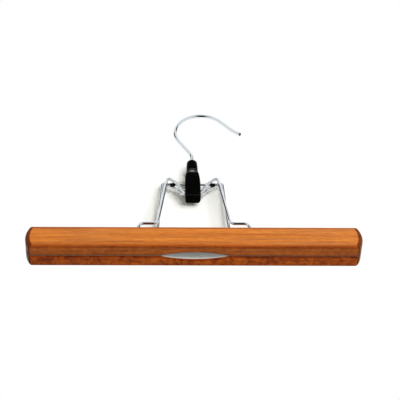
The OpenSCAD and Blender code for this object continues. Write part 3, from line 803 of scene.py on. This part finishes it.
# %% [markdown]
# ## Felt
# A strip of pressed felt is glued on each bar's inner face and follows it into the hollow. It
# could be a plane with a Solidify modifier, or a cloth laid on the bar. Glued felt doesn't hang
# though, so it is a thin slab that takes its shape from the bar's own formulas. Cut felt has
# soft edges and a slightly uneven face, so its points move in and out by a few hundredths of a
# millimetre.

# %% Section of a felt strip
STRIP_ROWS, STRIP_ACROSS = 520, 26
STRIP_LOW, STRIP_HIGH = BAR_BOTTOM + FELT_SETBACK, BAR_TOP - FELT_SETBACK
STRIP_EDGE = 0.3 * MM


def felt_section():
    """Section of the strip in YZ, walked round once, with its free face set in at the edges."""
    z = np.linspace(STRIP_LOW, STRIP_HIGH, STRIP_ACROSS)
    back = np.column_stack([np.full(STRIP_ACROSS, BAR_INNER), z])
    face = np.column_stack([np.full(STRIP_ACROSS, BAR_INNER - FELT_THICKNESS), z])[::-1]
    face[:, 1] = np.clip(face[:, 1], STRIP_LOW + STRIP_EDGE, STRIP_HIGH - STRIP_EDGE)
    rim = np.linspace(0, 1, 5)[1:-1, None]
    return np.vstack([back, back[-1] * (1 - rim) + face[0] * rim,
                      face, face[-1] * (1 - rim) + back[0] * rim])


# %% Felt strips
rng = np.random.default_rng(7)
WOBBLE_MM, FUZZ_MM, FUZZ_LIMIT = (-0.02, 0.05), (-0.04, 0.04), 0.05 * MM
# Widths and strength of the painted shade on the felt: along its rim beside the hollow, and deep in
# the hollow
RIM_BAND, HOLLOW_FADE = 1.2 * MM, 2 * MM
DEEPEST_SHADE, DEEP_FROM_RIM, DEEP_FADE = 0.2, 8.5 * MM, 6 * MM


def make_felt_strip(name, side):
    """A slab from the bar's face to FELT_THICKNESS off it, following the relief at each x."""
    loop = felt_section()
    size = len(loop)
    on_face = (loop[:, 0] < BAR_INNER - 0.5 * FELT_THICKNESS).astype(float)
    half = end_reach(np.full(size, BAR_INNER), loop[:, 1]) - FELT_SETBACK
    rows = []
    for t in np.linspace(-1, 1, STRIP_ROWS):
        wobble = rng.uniform(*WOBBLE_MM, size) * MM * on_face
        fuzz = rng.uniform(*FUZZ_MM, size) * MM
        z = np.clip(loop[:, 1] + fuzz, STRIP_LOW - FUZZ_LIMIT, STRIP_HIGH + FUZZ_LIMIT)
        rows.append(np.column_stack([t * half, loop[:, 0] + relief(t * half) + wobble, z]))
    cloud = np.vstack(rows) * [1, side, 1]
    faces = grid_faces(len(rows), size)
    faces.append(tuple(range(size))[::-1])
    faces.append(tuple(range(len(cloud) - size, len(cloud))))
    if side > 0:
        faces = [f[::-1] for f in faces]
    strip = make_mesh(name, cloud, faces, felt)
    in_hollow = fade(np.abs(cloud[:, 0]), 0.45 * RELIEF_WIDTH + HOLLOW_FADE, HOLLOW_FADE)
    to_rim = np.minimum(cloud[:, 2] - STRIP_LOW, STRIP_HIGH - cloud[:, 2])
    # Painted shade: along the rim beside the hollow, the gap's shade with a wood-brown bounce of
    # light
    store(strip, "pressed", (1 - in_hollow) * fade(to_rim, RIM_BAND, RIM_BAND))
    # Painted shade deep in the hollow, growing away from the rim
    store(strip, "deep", DEEPEST_SHADE * in_hollow * (1 - fade(to_rim, DEEP_FROM_RIM, DEEP_FADE)))
    return strip


front_felt = make_felt_strip("front_felt_strip", -1)
rear_felt = make_felt_strip("rear_felt_strip", 1)
for piece, node, body in ((front_felt, "front_felt", "front_jaw"),
                          (rear_felt, "rear_felt", "rear_jaw")):
    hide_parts(node)
    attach(piece, body)

# %% [markdown]
# ## Finishes on the solids that stay
# The lock body, its plug, the stem, the pin with its sleeves and the washer could be built
# again as well. Their solids already have the real forms, with slots, bores and rounded edges,
# so they stay as they are and only get their finishes.

# %% Finishes for the remaining solids
finish_of = {"lock_body": body_plastic, "lock_plug": plastic, "stem": stem_plastic,
             "cross_pin": steel, "pin_sleeves": sleeve_black, "hook_washer": steel}
for name, material in finish_of.items():
    solid = nodes[name]
    if not solid.material_slots:
        solid.data.materials.append(material)
    for slot in solid.material_slots:
        slot.material = material
print("solids with a new finish:", ", ".join(finish_of))

# %% [markdown]
# ## The studio
# The hanger lies on its back on a white surface. Turning the hanger to lie on a level floor
# would move it out of its place, so the floor comes to the hanger: it is a plane just behind
# the rear bar, and it leans a little, because the hook is thinner than the bars. It is clear
# from behind, so the hanger can also be looked at from there.

# %% White surface
SHADE_CENTRE, SHADE_SIZE = (-6 * MM, 0.0, -96 * MM), (52 * MM, 1.0, 46 * MM)


def make_white_surface():
    """Near the lock the surface shows its shadows, and outside an ellipse in X and Z it is plain
    white, as the photograph's background is. Both hold for rays from the camera and from
    polished metal. Other rays meet a grey surface, which throws less light on the hanger, and
    scattered ones shorter than 3 mm pass, so the back of the rear bar isn't black."""
    material, tree, shader = new_material("white_surface")
    ray = add(tree, "ShaderNodeLightPath").outputs
    shown = calc(tree, "MAXIMUM", ray["Is Camera Ray"], ray["Is Glossy Ray"])
    tooth = noise(tree, (40, 40, 40), 2.0)
    white = ramp(tree, tooth, (0.3, (0.94, 0.938, 0.930)), (0.7, (0.96, 0.958, 0.950)))
    set_inputs(tree, shader, Base_Color=mix(tree, "MIX", shown, (0.45, 0.45, 0.45), white),
               Roughness=0.9, Specular_IOR_Level=0.1)
    ellipse = add(tree, "ShaderNodeMapping", vector_type="TEXTURE", Vector=coordinate(tree),
                  Location=SHADE_CENTRE, Scale=SHADE_SIZE)
    away = add(tree, "ShaderNodeVectorMath", operation="LENGTH", Vector=ellipse.outputs["Vector"])
    blank = ramp(tree, away.outputs["Value"], (0.70, 0.0), (1.0, 1.0))
    plain = add(tree, "ShaderNodeEmission", Color=(1.0, 1.0, 1.0), Strength=1.0)
    surface = mix_shader(tree, calc(tree, "MULTIPLY", shown, blank),
                         shader.outputs[0], plain.outputs[0])
    close = calc(tree, "LESS_THAN", ray["Ray Length"], 3 * MM)
    passing = calc(tree, "MULTIPLY", close, ray["Is Diffuse Ray"])
    behind = add(tree, "ShaderNodeNewGeometry").outputs["Backfacing"]
    clear = add(tree, "ShaderNodeBsdfTransparent").outputs[0]
    set_inputs(tree, tree.nodes["Material Output"],
               Surface=mix_shader(tree, calc(tree, "MAXIMUM", passing, behind), surface, clear))
    return material


# %% Floor
FLOOR_HALF, FLOOR_GAP = 1.6, 0.1 * MM


def make_floor():
    """A large plane through the rear bar's top edge and the back of the hook."""
    low = np.array([BAR_OUTER + FLOOR_GAP, BAR_TOP])
    high = np.array([HOOK_WIRE / 2 + FLOOR_GAP, 0.0])
    slope = (high[0] - low[0]) / (high[1] - low[1])
    points = np.array([(x * FLOOR_HALF, low[0] + slope * (z * FLOOR_HALF - low[1]), z * FLOOR_HALF)
                       for x, z in ((-1, -1), (1, -1), (1, 1), (-1, 1))])
    print("the surface leans by, degrees:", round(math.degrees(math.atan(slope)), 1))
    make_mesh("floor", points, [(0, 1, 2, 3)], make_white_surface(), smooth=False)


make_floor()

# %% [markdown]
# ## Light
# A picture of a real studio could light the scene, but then nothing in it could be set by
# itself. One large soft light stands to the right, in front of the hanger and about level with
# it, and throws soft shadows to the left and, as the camera sees them, downward. The rest comes
# evenly from all round. Polished metal sees neither the light nor that even glow, but bright
# walls with a few dark cards, as a product photographer would set up.

# %% Key light
def facing(right, up, forward, place):
    """The matrix of a light or camera that looks forward from place."""
    return Matrix([[right[i], up[i], -forward[i], place[i]] for i in range(3)] + [[0, 0, 0, 1]])


def area_light(name, place, aim, size, power):
    """A square soft light at place, facing aim, that polished metal doesn't show."""
    data = bpy.data.lights.new(name, "AREA")
    data.shape = "SQUARE"
    data.size = size
    data.energy = power
    light = bpy.data.objects.new(name, data)
    light.visible_glossy = False
    bpy.context.scene.collection.objects.link(light)
    way = unit(np.array(aim, float) - np.array(place, float))
    side = unit(np.cross(way, [0.0, 1.0, 0.0]))
    up = np.cross(side, way)
    light.matrix_world = facing(side, up, way, place)
    print(f"{name}: {size} m wide, {power} W")


area_light("key_light", place=(1.35, -2.50, -0.25), aim=(0, 0, -0.1), size=1.9, power=77.0)


# %% Surroundings
def make_surroundings():
    """Three worlds by kind of ray: plain white for the camera past the floor, an even pale glow
    that lights the hanger, and for polished metal bright walls, brighter above, with dark cards:
    one low in the middle, where |x| is small, and one high on each side."""
    world = bpy.data.worlds.new("surroundings")
    world.use_nodes = True
    tree = world.node_tree
    height = add(tree, "ShaderNodeMapRange", From_Min=-1.0, From_Max=1.0,
                 Value=coordinate(tree, "Z", "Generated"))
    level = height.outputs["Result"]
    aside = calc(tree, "ABSOLUTE", coordinate(tree, "X", "Generated"))
    soft = ramp(tree, level, (0.0, (0.48, 0.48, 0.45)), (0.36, (0.44, 0.44, 0.40)),
                (0.55, (0.44, 0.45, 0.39)), (1.0, (0.50, 0.51, 0.45)))
    mirrored = ramp(tree, level, (0.0, (0.62, 0.65, 0.67)), (0.5, (0.70, 0.73, 0.75)),
                    (0.8, (0.74, 0.78, 0.80)), (1.0, (0.86, 0.89, 0.91)))
    ahead = ramp(tree, aside, (0.20, 1.0), (0.32, 0.0))
    low = ramp(tree, level, (0.60, 1.0), (0.64, 0.0))
    to_side = ramp(tree, aside, (0.28, 0.0), (0.40, 1.0))
    high = ramp(tree, level, (0.74, 0.0), (0.76, 1.0), (0.860, 1.0), (0.885, 0.0))
    for first, second in ((ahead, low), (to_side, high)):
        card = mix(tree, "MULTIPLY", 1.0, first, second)
        mirrored = mix(tree, "MIX", card, mirrored, (0.015, 0.015, 0.016))
    ray = add(tree, "ShaderNodeLightPath").outputs
    glow = mix(tree, "MIX", ray["Is Glossy Ray"], soft, mirrored)
    seen = mix(tree, "MIX", ray["Is Camera Ray"], glow, (1.0, 1.0, 1.0))
    set_inputs(tree, tree.nodes["Background"], Color=seen, Strength=1.0)
    bpy.context.scene.world = world
    print("world made:", world.name)


make_surroundings()

# %% [markdown]
# ## Camera
# The photograph looks up at the hanger from below and in front, from about 1.2 m away through
# a long lens. A camera could be moved by eye until the picture looks right. This one comes from
# fitting the corners of the bars, in real sizes, which also gave the sizes of all the rest.

# %% Camera
CAMERA_PLACE = np.array([-37.3, -811.5, -943.1]) * MM
FOCAL_PIXELS, PHOTO_PIXELS, SENSOR_MM = 1465.5, 400, 36.0


def make_camera():
    """Elevation, turn and roll give the forward, right and up ways of the camera."""
    rise, turn, roll = math.radians(46.09), math.radians(3.03), math.radians(-1.93)
    forward = np.array([math.sin(turn) * math.cos(rise), math.cos(turn) * math.cos(rise),
                        math.sin(rise)])
    level = np.array([math.cos(turn), -math.sin(turn), 0.0])
    upright = np.cross(level, forward)
    right = math.cos(roll) * level + math.sin(roll) * upright
    up = math.cos(roll) * upright - math.sin(roll) * level
    data = bpy.data.cameras.new("camera")
    data.sensor_width = SENSOR_MM
    data.lens = FOCAL_PIXELS * SENSOR_MM / PHOTO_PIXELS
    camera = bpy.data.objects.new("camera", data)
    bpy.context.scene.collection.objects.link(camera)
    camera.matrix_world = facing(right, up, forward, CAMERA_PLACE)
    bpy.context.scene.camera = camera
    print("lens, mm:", round(data.lens, 1))


make_camera()
bpy.context.scene.view_settings.view_transform = "Standard"
